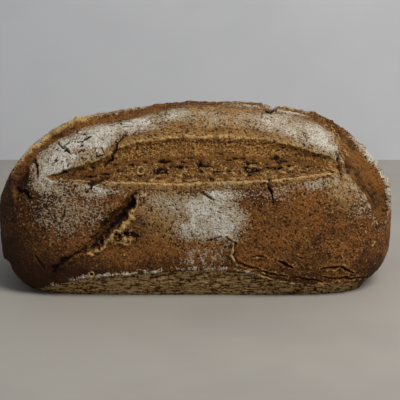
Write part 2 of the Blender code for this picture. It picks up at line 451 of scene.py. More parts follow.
over_lip = band(across, 1.06, 0.09) * ease((x + 70) / 16) * (1 - 0.6 * ease((x - 30) / 20))
under_lip = band(across, -0.11, 0.11)
bare_edge = open_here * (0.85 * over_lip + 0.6 * under_lip)  # flour fell off the lips as they rose

# %% Cut its largest bubbles open
# (along, height, half length, half height, deep)
BUBBLES = [(-21, 93, 4.6, 1.5, 2.6), (-11, 89, 4.6, 1.3, 2.8), (2.5, 91, 1.9, 3.8, 3.4),
           (53, 96.5, 4.4, 1.4, 2.6), (-27, 84.5, 6.0, 1.1, 2.4), (-50, 86, 4.6, 1.1, 2.2),
           (34, 91.5, 4.4, 1.1, 2.2), (47, 88.5, 4.0, 1.2, 2.2), (14, 86, 3.8, 1.0, 2.0),
           (62, 90, 3.0, 1.0, 2.0), (-3, 96, 3.2, 1.0, 1.8), (74, 89, 2.8, 1.0, 1.8),
           (-43, 91, 3.0, 1.0, 1.8), (22, 94, 3.0, 0.9, 1.8), (-70, 82.5, 5.0, 0.8, 1.8),
           (-60, 84.5, 4.0, 0.8, 1.8)]
# each cut bubble is a hollow with painted shade in it
for along, up, half_long, half_tall, deep in BUBBLES:
    off = np.hypot((x + 1.4 * ragged - along) / half_long, (z + 0.7 * ragged - up) / half_tall)
    hollow = front * ease(1.3 - off)
    height -= deep * hollow
    lay("painted_shade", 0.85 * hollow)
print(f"the front score is open over {(inside > 0.5).mean():.0%} of the points")

# %% [markdown]
# ## The long score
#
# The second cut runs behind the crest and comes forward as it goes down both ends. It opened as a shallow
# band of young crust. Its far rim bulges on the left, and on the right it is a lumpy, floured ridge, where
# the crust stretched into strands. Its measure goes from the near lip at 0 to the far lip at 1, and the turn
# round the loaf says how far down an end a point is.

# %% Open the long score
lip_at = np.interp(turn, *curve(LONG_FRONT))
wide = np.interp(turn, *curve(LONG_BACK)) - lip_at
across = (y + jag - lip_at) / np.maximum(wide, 0.5)
open_here = (z > 30) * ease((turn + 84) / 4) * ease((91 - turn) / 4)
middle = ease((52 - abs(turn)) / 10)
LONG_PROFILE = [(-0.12, 0), (-0.02, 0.5), (0.05, -0.8), (0.15, -2.6), (0.5, -3.8), (0.8, -3.4), (0.93, -1.6),
                (1.0, 0.0), (1.2, 0)]
height += open_here * np.minimum(wide / 15, 1) * np.interp(across, *curve(LONG_PROFILE))
left_end = ease((-turn - 15) / 15)
far_rim = band(across - 1.05 - 0.03 * left_end, 0, 0.09 + 0.06 * left_end)
bulging = np.clip(0.5 + 1.1 * rough(skin, 6, 43), 0, 1.3)
height += open_here * (1 - 0.8 * middle) * (0.5 + 1.5 * uneven + 2.2 * left_end * bulging) * far_rim
height += 3.2 * open_here * spot(turn, across, (75, 1.18), (13, 0.22)) * (0.4 + 1.1 * uneven)
inside = open_here * ease((across + 0.01) / 0.05) * ease((1.0 - across) / 0.05)
inside_scores = np.maximum(inside_scores, inside)

# %% Paint its young crust and its rims
lay("crumb", inside * middle * ease((across - 0.15) / 0.2) * ease((0.9 - across) / 0.2))
mottled = 0.82 - 0.3 * middle - 0.16 * ease((turn - 40) / 20) + 0.35 * rough(skin, 11, 34)
lay("satin", inside * mottled)
lay("lip", open_here * (1 - 0.7 * middle) * ease((60 - turn) / 20) * ease((turn + 80) / 10) * far_rim)
right_end = ease((turn - 54) / 8)
# painted shade along the near lip at the right end
lay("painted_shade", 0.5 * inside * right_end * band(across, 0.14, 0.12) * ease((turn - 62) / 8) * (0.5 + uneven))
near_rim = open_here * uneven * band(across + 0.02 + 0.05 * right_end, 0, 0.05 + 0.07 * right_end)
lay("lip", (0.45 + 0.6 * right_end) * near_rim)
edge_shadow = open_here * band(across, 0.06, 0.05) * ease((-turn - 30) / 20) * uneven
lay("painted_shade", 0.7 * edge_shadow)
height -= 0.9 * edge_shadow

# %% Stretch the crust at both its ends
stretch = rough(np.stack([turn / 5, (y - lip_at) / 1.3, 0 * x], axis=1), 1, 9)
knobbly = rough(skin, 2.4, 24)
ends = inside * (1 - middle)
height += (1.1 * stretch + 1.1 * knobbly) * ends
lay("lip", 0.9 * ends * ease((stretch - 0.08) / 0.25) * ease((turn - 44) / 6) * ease((72 - turn) / 12))
# painted shade between the stretched strands, and in a hollow near the right end
lay("painted_shade", 0.65 * ends * ease((-0.05 - stretch - 0.5 * knobbly) / 0.3))
lay("painted_shade", 0.6 * spot(turn, across, (79, 0.4), (5, 0.4)) * inside * (0.4 + uneven))
print(f"the scores are open over {(inside_scores > 0.5).mean():.0%} of the points")

# %% [markdown]
# ## The crumb in the scores
#
# Rye crumb is dense, with small round pores and a few caves, drawn out along the score. Noise gives the
# tangle of strands, and distances to scattered spots give the pores.

# %% Roughen the crumb that both scores laid bare
height += painted["crumb"] * (1.25 * tangle - 2.1 * pores)
# painted shade in the pores and caves
lay("painted_shade", painted["crumb"] * pores)

# %% [markdown]
# ## The tear
#
# Where the scores didn't give way soon enough, the dough broke through the front crust. A tear is rougher
# than a cut: its floor is deep and painted dark as shade, its lower right edge stands out as a pale ledge,
# and beside it a patch of skin crumbled off. It follows its course, shifted by noise, and its two sides are
# told apart by the sign of a cross product.

# %% Open the tear, and raise its ledge
broken = 1.7 * rough(skin, 8, 23) + 1.1 * ragged
off, half, side = along_course(x + broken, z - 0.9 * broken, TEAR)
gash = front * ease((half - off) / (0.35 * half + 0.5))
in_the_middle = np.argmin(abs(x + 70) + abs(z - 55) + 100 * (y > 0))  # a point on the upper left side
upper_left = side == side[in_the_middle]
height -= (1.5 + 0.9 * half) * gash
core = ease((0.45 * half - off + np.where(upper_left, -0.3, 0.4) * half) / (0.4 * half + 0.3))
# painted shade over the tear's floor, darkest in its core
core_shade = 0.6 * core * np.minimum(0.4 + 0.2 * half, 1) * (0.7 + 0.3 * ease((z - 44) / 12))
coarse_lumps = rough(skin, 3.4, 41)
lay("painted_shade", gash * np.clip(0.36 - 0.3 * coarse_lumps + core_shade, 0, 1))
ledge = 0.9 + 0.2 * half
rim = front * band(off - half - 0.7 * ledge, 0, ledge) * np.minimum(0.35 + half / 4, 1)
height += np.where(upper_left, 0.3, 1.9) * rim * (0.7 + 0.5 * uneven)
lay("crumb", np.where(upper_left, 0.2, 0.5) * rim * ease((x + 78) / 12) * ease((70 - z) / 8))
bright_rim = np.where(upper_left, 0.15, 1.2) * rim * (0.6 + 0.5 * uneven)
lay("lip", bright_rim * (0.45 + 0.55 * ease((x + 76) / 8)))
inside_scores = np.maximum(inside_scores, 0.4 * gash)

# %% Crumble the patch beside it
crumbled = front * ease(1.6 - np.hypot((x + 46.5 + 2.4 * ragged) / 9.0, (z - 43 + 2.0 * ragged) / 5.6))
lumps = coarse_lumps + 0.5 * rough(skin, 1.5, 42)
lay("crumb", 0.9 * crumbled)
height += crumbled * (2.2 * lumps + 0.5)
lay("lip", 0.95 * crumbled * ease((lumps - 0.02) / 0.25))
# painted shade between the lumps
lay("painted_shade", 1.1 * crumbled * ease((-0.12 - lumps) / 0.2))
hole = front * ease(1.4 - np.hypot((x + 42.5 + ragged) / 3.0, (z - 44.5 + ragged) / 2.0))
height -= 2.4 * hole
# painted shade in the hole
lay("painted_shade", hole)
painted["lip"] *= 1 - hole
print(f"the tear is open over {(gash > 0.5).sum()} points")

# %% [markdown]
# ## Cracks
#
# As the loaf cools it shrinks, and the skin cracks. A crack wanders, is never as wide for long, and its
# rims stand up a little. Low on the right the rims are pale, since the skin lifted off there. One function
# opens every crack, and moves its course by noise, so that no crack runs straight.

# %% Crack the crust
wander = ragged + 1.6 * rough(skin, 7, 46)


def crack(where, second, deep, course):
    """Opens a crack along a course given along the loaf and in a second direction, and paints shade inside
    it.
    """
    off, half, _ = along_course(x + 0.75 * wander, second - 0.6 * wander, course)
    half = half * (0.35 + 1.1 * uneven)
    open_crack = where * ease(1.25 - off / (1.1 * half))
    rim = where * band(off - 1.5 * half, 0.3, 0.9)
    pale = rim * ease((x - 12) / 8) * ease((48 - second) / 6) * (abs(y) > 40)
    lay("painted_shade", open_crack * min(0.25 + 0.22 * deep, 0.8))
    lay("lip", 0.8 * pale * uneven)
    height[:] = height - deep * open_crack + (0.3 + 0.4 * pale) * rim


for courses, where, second in ((CRACKS, front, z), (TOP_CRACKS, z > 75, y), (BACK_CRACKS, y > 20, z)):
    for deep, course in courses:
        crack(where.astype(float), second, deep, course)
print(f"opened {len(CRACKS) + len(TOP_CRACKS) + len(BACK_CRACKS)} cracks")

# %% [markdown]
# ## Flakes, burst bubbles and a cleft
#
# Small flakes of skin stand off the front, and two bubbles burst and left a ring. On the crest the dough
# parted between two rises, which leaves a cleft. These are modelled, since each casts its own small shadow.

# %% Lift the flakes and burst the bubbles
for course in FLAKES:
    off, half, _ = along_course(x + 0.7 * ragged, z + 0.5 * ragged, course)
    flake = front * ease(1.6 - off / half) * ease(2.2 * uneven - 0.2)
    height += 0.9 * flake
    lay("lip", 1.3 * flake)
    bare_edge = np.maximum(bare_edge, flake)
# the ring of a burst bubble takes painted shade away, and its inside gets painted shade
for along, up, radius in BURST_BUBBLES:
    off = np.hypot(x - along, z - up)
    ring = front * band(off, radius, 0.55)
    within = front * ease((radius - 0.3 - off) / 0.6)
    height += 0.9 * ring - 0.8 * within
    lay("lip", 1.4 * ring)
    painted["painted_shade"] *= 1 - ring
    lay("painted_shade", 0.4 * within)

# %% Part the crest
CLEFT_DEEP = 5.8
off, half, _ = along_course(x + 0.8 * wander, y - 0.6 * wander, CLEFT)
cleft = ease(1.6 - 0.8 * off / half) * np.minimum(half / 2.4, 1) * ease((z - 85) / 8)
height -= CLEFT_DEEP * cleft
# painted shade deep in the cleft
lay("painted_shade", 0.95 * cleft * cleft)

# %% [markdown]
# ## The foot
#
# The lower edge stood in the tin, which kept it pale, wrinkled and a little narrower than the crust that
# swelled over it. The seam between them is a small ridge. At the left end the crust hangs over the foot,
# and is streaked where it slid up the tin.

# %% Draw the foot in under the seam
seam = np.interp(x, *curve(SEAM)) + np.where(y > 0, 2.5 * rough(skin, 30, 12, 1), 1.3 * jag)
sides = ease((abs(y) - 30) / 12)
foot = sides * ease((seam - z) / 1.3) * ease((114 - abs(x)) / 8)
lay("base", foot)
wrinkles = rough(skin * (0.3, 1, 1), 1.9, 21)
height -= 1.7 * foot * ease(z / 3) - 0.6 * wrinkles * foot
ridge = sides * (0.35 + uneven) * band(z - seam, 0.9, 1.1) * ease((112 - abs(x)) / 10)
height += ridge
lay("lip", 0.8 * ridge * ease((x - 34) / 8) * (y < 0))

# %% Hang the crust over the foot at the left end
HANGS_OUT = 4.2
hang = ease((20.5 + jag - z) / 1.6) * ease((-x - 112) / 10) * ease((y + 50) / 8)
slide[:, 0] += HANGS_OUT * hang
streaks = rough(skin * (1, 1, 0.12), 1.9, 13)
streaked = ease((-x - 98) / 10) * ease((70 - z) / 10) * ease((z - 8) / 6)
height += 0.45 * streaks * streaked
# painted shade in the grooves between the streaks
lay("painted_shade", 0.35 * streaked * ease((-0.1 - streaks) / 0.3))

# %% Move every point to its place
shaped = skin + outward * height[:, None] + slide
shaped[:, 2] = np.maximum(shaped[:, 2], 0)
shaped[on_base, 2] = 0
set_points(loaf_mesh, shaped)
print(f"the crust lies from {height.min():.1f} to {height.max():.1f} mm over the smooth dough")

# %% [markdown]
# ## Flour
#
# A baker dusts the dough before it is cut and before it rises, so flour lies on the old skin, breaks up
# where the skin stretched, and is missing wherever the loaf opened. It is thick on the shoulders and in
# the middle of the front, and it collects along the seam. It is painted as soft spots, and then clotted by
# noise, because flour never lies evenly.

# %% Where the flour was dusted
# (along, height, reach along, reach up, how much)
FRONT_FLOUR = [(4, 62, 19, 14, 0.92), (17, 55, 17, 17, 1.0), (0, 49, 16, 12, 0.86), (15, 74, 20, 9, 0.90),
               (-12, 66, 26, 13, 0.62), (-84, 60, 34, 22, 0.46), (-66, 76, 22, 8, 0.82),
               (-92, 76, 22, 9, 0.64), (4, 31, 20, 9, 0.70), (72, 78, 26, 6, 0.60), (99, 75, 15, 10, 0.42),
               (111, 62, 13, 15, 0.34), (-34, 74, 20, 12, 0.44), (44, 74, 34, 10, 0.42),
               (124, 66, 8, 22, 0.9)]
# (along, front to back, reach along, reach front to back, how much)
TOP_FLOUR = [(-90, -44, 22, 20, 0.98), (-66, -34, 28, 22, 1.0), (-38, -30, 26, 18, 0.95),
             (-16, -22, 16, 12, 0.74), (76, -34, 28, 22, 0.86), (54, -28, 26, 16, 0.80),
             (18, -28, 44, 14, 0.52), (-50, 44, 34, 14, 0.8), (40, 50, 40, 12, 0.8), (122, 4, 16, 40, 1.2),
             (-114, 14, 14, 22, 0.9), (34, 4, 18, 14, 0.66), (64, 2, 16, 16, 0.85)]
for along, up, reach, reach_up, much in FRONT_FLOUR:
    lay("flour", (y < 0) * much * spot(x, z, (along, up), (reach, reach_up)))
for along, back, reach, reach_back, much in TOP_FLOUR:
    lay("flour", ease((z - 66) / 16) * much * spot(x, y, (along, back), (reach, reach_back)))
drifts = np.clip(0.42 + 0.55 * rough(skin, 26, 14) + 0.3 * outward[:, 2], 0.05, 0.9)
lay("flour", ease((y - 5) / 20) * drifts)  # the back is dusted in broad drifts
lay("flour", 0.03 + 0.12 * outward[:, 2])
clotted = 1.0 + 0.38 * rough(skin, 12, 22) + 0.26 * rough(skin, 5, 26) + 0.2 * rough(skin, 2.2, 27)
painted["flour"] *= clotted

# %% Where it stayed
barely_open = spot(x, y, (48, 6), (30, 20))  # here the long score hardly opened, and the flour stayed
inside_scores *= 1 - 0.85 * barely_open
painted["satin"] *= 1 - 0.7 * barely_open
painted["flour"] *= 1 - ease((40 - z) / 6) * front * ease((0.15 - rough(skin, 4, 28)) / 0.3) * 0.75
left_line = 1.3 * ease((-turn - 50) / 8) * ease((turn + 76) / 6)
lay("flour", near_rim * (0.8 * right_end + left_line))
broken_line = ease(1.0 + 1.4 * rough(skin, 7, 44))
seam_flour = sides * band(z - seam, 0.9, 1.6) * ease((x + 104) / 8) * ease((48 - x) / 14)
lay("flour", (0.45 + 0.65 * uneven) * broken_line * seam_flour)
for bare in (inside_scores, 0.85 * painted["base"], 0.8 * painted["crumb"], 0.7 * painted["painted_shade"], bare_edge):
    painted["flour"] *= 1 - bare

# %% [markdown]
# ## How far it baked
#
# The bake varies in broad patches, and painted shade makes the crust darker low down and at the left end.
# It is warmest on the bulges. Round the scores and on the crest, the stretched skin toasted paler than the
# rest. On the floured shoulders the dry skin broke into small plates.

# %% Bake with painted shade, toast and plates
bake = 0.55 + 0.30 * rough(skin, 24, 15) + 0.15 * rough(skin, 8, 16)
# painted shade: darker low down and at the left end
bake -= (0.42 * ease((42 - z) / 34) * ease((60 - x) / 60) + 0.15 * ease((34 - z) / 26)
         + 0.3 * ease((-x - 84) / 30))
bake += 0.22 * front * spot(x, z, (-12, 36), (36, 16))
# a darker bake on the right end of the long score, and more painted shade low on the left
bake -= 0.12 * ends * (turn > 0) + 0.2 * ease((34 - z) / 20) * ease((-36 - x) / 30)
lay("toast", ease((z - 96) / 12) * 0.8 * spot(x, y, (14, -24), (62, 20)))
lay("toast", front * 0.75 * spot(x, z, (-20, 61), (22, 22)))
lay("toast", front * 0.62 * spot(x, z, (100, 72), (20, 20)))
painted["toast"] *= 1 - inside_scores * (abs(turn) < 40)
painted["toast"] *= 0.95 + 0.45 * rough(skin, 6, 45)
shoulders = np.clip(ease((-x - 34) / 10) + 0.5 * ease((x - 60) / 12), 0, 1)
plates = ease((z - 82) / 8) * ease((2 - y) / 6) * shoulders
plates *= 1 - np.maximum(inside_scores, ease((x - 92) / 4))

# %% Keep every layer on the mesh
painted.update(bake=bake, plates=plates)
for name, amount in painted.items():
    layer = loaf_mesh.attributes.new(name, "FLOAT", "POINT")
    layer.data.foreach_set("value", np.clip(amount, 0, 1).astype(np.float32))
    print(f"{name}: {np.clip(amount, 0, 1).mean():.3f} on average")

# %% [markdown]
# ## A flat map of the skin
#
# A texture map needs the skin laid flat. Unwrapping a lumpy mesh by its angles cuts it into hundreds of
# scraps. This mesh began as a cube, so each point still knows its place on it: front, top and back make
# one long strip, and the base and the two ends are rectangles beside it. Each side is drawn as long as it
# is on the loaf, so the texture isn't stretched.

# %% Measure the sides of the loaf
GAP = 4.0  # between two rectangles, in millimetres


def arc(across_x, across_y, across_z):
    """The lengths along a line that runs over one side of the cube, once it is bent to the loaf."""
    line = risen(np.stack(np.broadcast_arrays(across_x, across_y, across_z), axis=1))
    return np.concatenate([[0], np.cumsum(np.linalg.norm(np.diff(line, axis=0), axis=1))])


steps = np.linspace(-1, 1, 60)
long_way = arc(steps, 0.0, 1.0)
up_front = arc(0.0, -1.0, steps)
over_top = arc(0.0, steps, 1.0)
over_base = arc(0.0, steps, -1.0)
end_wide = arc(1.0, steps, 0.0)
end_tall = arc(1.0, 0.0, steps)
girth = 2 * up_front[-1] + over_top[-1]
print(f"the strip is {long_way[-1]:.0f} x {girth:.0f} mm")

# %% Give each side its place on the map
# for each side of the cube: the axes and lengths that run right and up, which way up goes, and its corner
SIDES = {
    (1, -1): (0, long_way, 2, up_front, 1, (0, over_base[-1] + GAP)),
    (2, 1): (0, long_way, 1, over_top, 1, (0, over_base[-1] + GAP + up_front[-1])),
    (1, 1): (0, long_way, 2, up_front, -1, (0, over_base[-1] + GAP + up_front[-1] + over_top[-1])),
    (2, -1): (0, long_way, 1, over_base, 1, (0, 0)),
    (0, -1): (1, end_wide, 2, end_tall, 1, (long_way[-1] + GAP, 0)),
    (0, 1): (1, end_wide, 2, end_tall, 1, (long_way[-1] + GAP, end_tall[-1] + GAP)),
}

# %% Carry every corner to the map
counts = np.empty(len(loaf_mesh.polygons), int)
corners = np.empty(len(loaf_mesh.loops), int)
loaf_mesh.polygons.foreach_get("loop_total", counts)
loaf_mesh.loops.foreach_get("vertex_index", corners)
starts = np.concatenate([[0], np.cumsum(counts)[:-1]])
middles = np.add.reduceat(on_cube[corners], starts, axis=0) / counts[:, None]
axis_of = np.repeat(np.argmax(abs(middles), axis=1), counts)
sign_of = np.repeat(np.sign(middles[np.arange(len(middles)), np.argmax(abs(middles), axis=1)]), counts)
spots = np.zeros((len(corners), 2))
for (axis, sign), (right, right_lengths, up, up_lengths, up_way, corner) in SIDES.items():
    here = (axis_of == axis) & (sign_of == sign)
    places = on_cube[corners[here]]
    along = np.interp(places[:, right], steps, right_lengths)
    above = np.interp(places[:, up] * up_way, steps, up_lengths)
    spots[here] = np.stack([along, above], axis=1) + corner
map_side = max(over_base[-1] + GAP + girth, long_way[-1] + GAP + end_wide[-1]) + 2 * GAP
flat_map = loaf_mesh.uv_layers.new(name="OFBake")
flat_map.data.foreach_set("uv", ((spots + GAP) / map_side).ravel())
print(f"the map is {map_side:.0f} mm on a side")

# %% [markdown]
# ## Helpers for the finishes
#
# A finish here is a stack of layers, like coats on a wall. Each layer has a colour and a mask, and a mask is
# a weighted sum of patterns and painted layers that turns on between two values. That is enough for
# flour that breaks up into specks: where much flour was painted the sum passes the limit everywhere, and
# where little was painted only the peaks of a fine noise do.

# %% Helpers for nodes and colours
def node(tree, kind, inputs=None, **settings):
    """Adds a node with its settings, and gives each input a value or another node's output."""
    made = tree.nodes.new(kind)
    for name, value in settings.items():
        setattr(made, name, value)
    for socket, value in (inputs or {}).items():
        if isinstance(value, bpy.types.NodeSocket):
            tree.links.new(value, made.inputs[socket])
        else:
            made.inputs[socket].default_value = value
    return made


def linear(hex_colour):
    """The linear red, green, blue and alpha that a shader works in, from an sRGB hex colour."""
    parts = [int(hex_colour[i : i + 2], 16) / 255 for i in (1, 3, 5)]
    return [part / 12.92 if part <= 0.04045 else ((part + 0.055) / 1.055) ** 2.4 for part in parts] + [1.0]


# %% Helpers that weigh patterns and turn them into masks
def weigh(tree, sources, recipe):
    """The weighted sum of patterns and painted layers."""
    total = 0.0
    for name, weight in recipe.items():
        total = node(tree, "ShaderNodeMath", {0: sources[name], 1: weight, 2: total},
                     operation="MULTIPLY_ADD").outputs[0]
    return total


def mask(tree, sources, recipe, start, full):
    """A soft mask: 0 where the weighted sum is under start, 1 where it is over full."""
    return node(tree, "ShaderNodeMapRange", {0: weigh(tree, sources, recipe), 1: start, 2: full},
                interpolation_type="SMOOTHSTEP").outputs[0]


# %% Helpers that start a material and lay its coats
def new_material(name, patterns, painted=()):
    """A material with its Principled shader, its patterns (mm along x, y and z) and its painted layers."""
    material = bpy.data.materials.new(name)
    material.use_nodes = True
    tree = material.node_tree
    sources = {"place": node(tree, "ShaderNodeTexCoord").outputs["Object"]}
    for number, (pattern, size) in enumerate(patterns.items()):
        scaled = node(tree, "ShaderNodeVectorMath", {0: sources["place"], 1: tuple(1000 / s for s in size),
                                                     2: (7.3 * number, 1.9, 4.1)}, operation="MULTIPLY_ADD")
        sources[pattern] = node(tree, "ShaderNodeTexNoise", {"Vector": scaled.outputs[0], "Scale": 1.0,
                                                             "Detail": 3.0, "Roughness": 0.6}).outputs[0]
    for layer in painted:
        sources[layer] = node(tree, "ShaderNodeAttribute", attribute_name=layer).outputs["Fac"]
    return material, tree, sources


def coat(tree, sources, undercoat, layers):
    """Lays each (recipe, start, full, colour) over the colours before it."""
    paint = linear(undercoat)
    for recipe, start, full, colour in layers:
        amount = mask(tree, sources, recipe, start, full)
        paint = node(tree, "ShaderNodeMix", {0: amount, 6: paint, 7: linear(colour)},
                     data_type="RGBA").outputs[2]
    return paint


def two_toned(name, size, roughness, undercoat, start, full, colour):
    """A material of two tones of one colour, in soft patches of this size in mm."""
    material, tree, sources = new_material(name, {"tone": size})
    shader = tree.nodes["Principled BSDF"]
    shader.inputs["Roughness"].default_value = roughness
    both = coat(tree, sources, undercoat, [({"tone": 1.0}, start, full, colour)])
    tree.links.new(both, shader.inputs["Base Color"])
    return material


# %% [markdown]
# ## The crust
#
# The crust of a rye loaf is matt and deep brown. It is darker where it is thick, and painted shade darkens it
# low down and at the left end. It is warmer on the bulges, and pitted with pores about a millimetre wide.
# Inside a score the crust is younger: smoother and more even. Torn crumb is pale and craggy, and the lips of
# a score are toasted to gold. Flour lies over the old crust only. One material does all of it, because on
# the loaf it is one surface.

# %% Its patterns and its coats
# sizes in millimetres along x, y and z; dust is drawn coarser than real flour, which is too fine to show
CRUST_PATTERNS = {"patch": (9, 9, 9), "grain": (3, 3, 3), "speck": (1.6, 1.6, 1.6), "dust": (1.1, 1.1, 1.1),
                  "strand": (4.5, 1.5, 1.5), "wrinkle": (5, 5, 1.2)}
# (weights, where a coat begins, where it is full, colour)
CRUST_LAYERS = [
    ({"bake": 1.0, "patch": 0.5}, 0.60, 1.10, "#925e29"),  # warmer bulges
    ({"toast": 1.0, "patch": 0.5, "speck": 0.5}, 0.70, 1.30, "#ad8750"),  # toasted skin round the scores
    ({"dust": 1.0, "speck": 0.8}, 0.94, 1.10, "#a5763f"),  # bran in the skin
    ({"speck": -1.0, "grain": -0.7}, -0.80, -0.66, "#2c1608"),  # pores
    ({"satin": 1.0, "patch": 0.4, "strand": 0.6}, 0.75, 1.30, "#8c5a24"),  # young crust inside a score
    ({"satin": 0.5, "strand": -1.0, "grain": -0.5}, -0.24, -0.12, "#41240d"),  # painted shade in its creases
    ({"satin": 1.0, "dust": 1.0, "speck": 0.6}, 1.76, 1.92, "#b88e50"),  # and its grain
    ({"bake": -1.0, "patch": 0.4}, -0.28, 0.14, "#3c200a"),  # the darkest bake, and painted shade low down and at the left end
    ({"base": 1.0, "patch": 0.3}, 0.5, 0.9, "#a98049"),  # the foot, pale from the tin
    ({"base": 1.0, "wrinkle": 1.0, "speck": 0.5}, 1.72, 1.86, "#cfb17d"),  # its stretched skin
    ({"base": 1.0, "wrinkle": -1.0, "speck": -0.5}, 0.26, 0.36, "#432b12"),  # painted shade in the creases of the foot
    ({"crumb": 1.0, "grain": 0.4}, 0.40, 0.95, "#7a5224"),  # torn crumb
    ({"crumb": 1.0, "speck": 1.0, "strand": 0.5}, 1.77, 1.90, "#cda76b"),  # its pale strands
    ({"crumb": 1.0, "dust": -1.0, "strand": -0.6}, 0.26, 0.39, "#231206"),  # painted shade in its small holes
    ({"lip": 1.0, "grain": 0.5, "dust": 0.4}, 0.80, 1.35, "#d6ae70"),  # toasted lips
    ({"flour": 1.2, "dust": 2.2, "speck": 1.2}, 2.12, 2.46, "#b3a185"),  # a thin dusting
    ({"flour": 1.6, "dust": 2.0, "grain": 1.2, "patch": 0.8}, 3.06, 3.70, "#e2dcd0"),  # flour
    ({"speck": -1.0, "dust": -0.9}, -0.86, -0.75, "#3d2410"),  # dark specks, where the flour fell between
    ({"fissure": -1.0, "patch": 0.8, "plates": 0.2}, 0.625, 0.665, "#2a170b"),  # cracks between the plates
    ({"painted_shade": 1.0, "dust": 0.5}, 0.50, 1.15, "#1d0e05"),  # painted shade in whatever is deep
]

# %% Floured rye crust: baked dough, matt, with flour that scatters the light and a faint shine in the scores
FISSURE_SPACING = 11.0
crust, tree, sources = new_material("floured_rye_crust", CRUST_PATTERNS, painted)
wobble = node(tree, "ShaderNodeVectorMath",
              {0: sources["grain"], 1: (0.004, 0.004, 0.004), 2: sources["place"]},
              operation="MULTIPLY_ADD").outputs[0]
sources["fissure"] = node(tree, "ShaderNodeTexVoronoi", {"Vector": wobble, "Scale": 1000 / FISSURE_SPACING},
                          feature="DISTANCE_TO_EDGE").outputs["Distance"]
shader = tree.nodes["Principled BSDF"]
shader.inputs["Specular IOR Level"].default_value = 0.2
tree.links.new(coat(tree, sources, "#5d3713", CRUST_LAYERS), shader.inputs["Base Color"])
matt = mask(tree, sources, {"flour": 1.2, "satin": -0.5, "dust": 0.4}, -0.4, 1.2)
matt = node(tree, "ShaderNodeMapRange", {0: matt, 3: 0.66, 4: 0.95}).outputs[0]
tree.links.new(matt, shader.inputs["Roughness"])
# only what is finer than the mesh is bump: grain, specks and dust of 1 to 3 mm
relief = weigh(tree, sources, {"grain": 1.8, "speck": 1.9, "dust": 1.4, "strand": 0.6})
bump = node(tree, "ShaderNodeBump", {"Height": relief, "Distance": 0.001, "Strength": 1.0})
tree.links.new(bump.outputs[0], shader.inputs["Normal"])
loaf_mesh.materials.append(crust)
loaf_mesh.shade_smooth()
loaf = put_in_scene("rye_loaf", loaf_mesh)
print(f"the crust has {len(CRUST_LAYERS)} layers of colour")

# %% [markdown]
# ## Grains on the crust
#
# Flour, bran and crumbs are too small to see one by one, but they break the light. Each is a squashed ball
# of 20 faces. Geometry Nodes scatter them over the loaf, and a painted layer says how thickly, so flour
# grains lie only where the flour is. One tree serves all three, with its numbers as inputs.

# %% A tree that scatters grains
scatter = bpy.data.node_groups.new("scatter_grains", "GeometryNodeTree")
SCATTER_INPUTS = {"Surface": "Geometry", "Layer": "String", "Per square metre": "Float",
                  "Smallest": "Float", "Largest": "Float", "Proportions": "Vector", "Seed": "Int",
                  "Finish": "Material"}
CROWDING = 2.2  # grains lie where a layer is strong: their number goes up with this power of it
sockets = {}
for label, kind in SCATTER_INPUTS.items():
    made = scatter.interface.new_socket(label, in_out="INPUT", socket_type="NodeSocket" + kind)
    sockets[label] = made.identifier
scatter.interface.new_socket("Grains", in_out="OUTPUT", socket_type="NodeSocketGeometry")
given = node(scatter, "NodeGroupInput").outputs
layer = node(scatter, "GeometryNodeInputNamedAttribute", {"Name": given["Layer"]}, data_type="FLOAT")
thick = node(scatter, "ShaderNodeMath", {0: layer.outputs[0], 1: CROWDING}, operation="POWER").outputs[0]
thick = node(scatter, "ShaderNodeMath", {0: thick, 1: given["Per square metre"]}, operation="MULTIPLY")
points = node(scatter, "GeometryNodeDistributePointsOnFaces",
              {"Mesh": given["Surface"], "Density": thick.outputs[0], "Seed": given["Seed"]}).outputs
ball = node(scatter, "GeometryNodeMeshIcoSphere", {"Radius": 1.0, "Subdivisions": 1}).outputs[0]
squashed = node(scatter, "GeometryNodeTransform", {"Geometry": ball, "Scale": given["Proportions"]})
size = node(scatter, "FunctionNodeRandomValue",
            {2: given["Smallest"], 3: given["Largest"], "Seed": given["Seed"]}, data_type="FLOAT")
spin = node(scatter, "FunctionNodeRandomValue",
            {0: (-0.5, -0.5, -3.1), 1: (0.5, 0.5, 3.1), "Seed": given["Seed"]}, data_type="FLOAT_VECTOR")
turned = node(scatter, "FunctionNodeRotateRotation", {0: points["Rotation"], 1: spin.outputs[0]},
              rotation_space="LOCAL")
grains = node(scatter, "GeometryNodeInstanceOnPoints",
              {"Points": points["Points"], "Instance": squashed.outputs[0], "Rotation": turned.outputs[0],
               "Scale": size.outputs[1]})
grains = node(scatter, "GeometryNodeRealizeInstances", {0: grains.outputs[0]})
grains = node(scatter, "GeometryNodeSetMaterial",
              {"Geometry": grains.outputs[0], "Material": given["Finish"]})
node(scatter, "NodeGroupOutput", {0: grains.outputs[0]})
print(f"the scatter tree has {len(scatter.nodes)} nodes")

# %% Finishes for the grains: all three are dry and matt
GRAIN_FINISHES = {
    "rye_flour": ("#cbbda4", 0.45, 0.6, "#ddd2bf"),  # ground grain: a warm white that scatters the light
    "bran_flake": ("#8a5b2b", 0.42, 0.6, "#bf9560"),  # the husk of the grain: thin and brown
    "crumb_shred": ("#7d5529", 0.42, 0.62, "#b58f58"),  # torn crumb: paler where it is thin
}
finishes = {name: two_toned(name, (2, 2, 2), 0.9, *tones) for name, tones in GRAIN_FINISHES.items()}
for finish in finishes.values():
    finish.node_tree.nodes["Principled BSDF"].inputs["Specular IOR Level"].default_value = 0.2


# %% Scatter flour, bran and crumbs
FACES_OF_A_GRAIN = 20


def grains_on_loaf(name, numbers):
    """Runs the scatter tree on the loaf and keeps its result as a plain mesh."""
    carrier = put_in_scene(name + "_carrier", loaf_mesh)
    modifier = carrier.modifiers.new("scatter", "NODES")
    modifier.node_group = scatter
    for label, value in numbers.items():
        modifier[sockets[label]] = value
    graph = bpy.context.evaluated_depsgraph_get()
    mesh = bpy.data.meshes.new_from_object(carrier.evaluated_get(graph))
    bpy.data.objects.remove(carrier)
    mesh.name = name
    print(f"{name}: {len(mesh.polygons) // FACES_OF_A_GRAIN} grains")
    return put_in_scene(name, mesh)


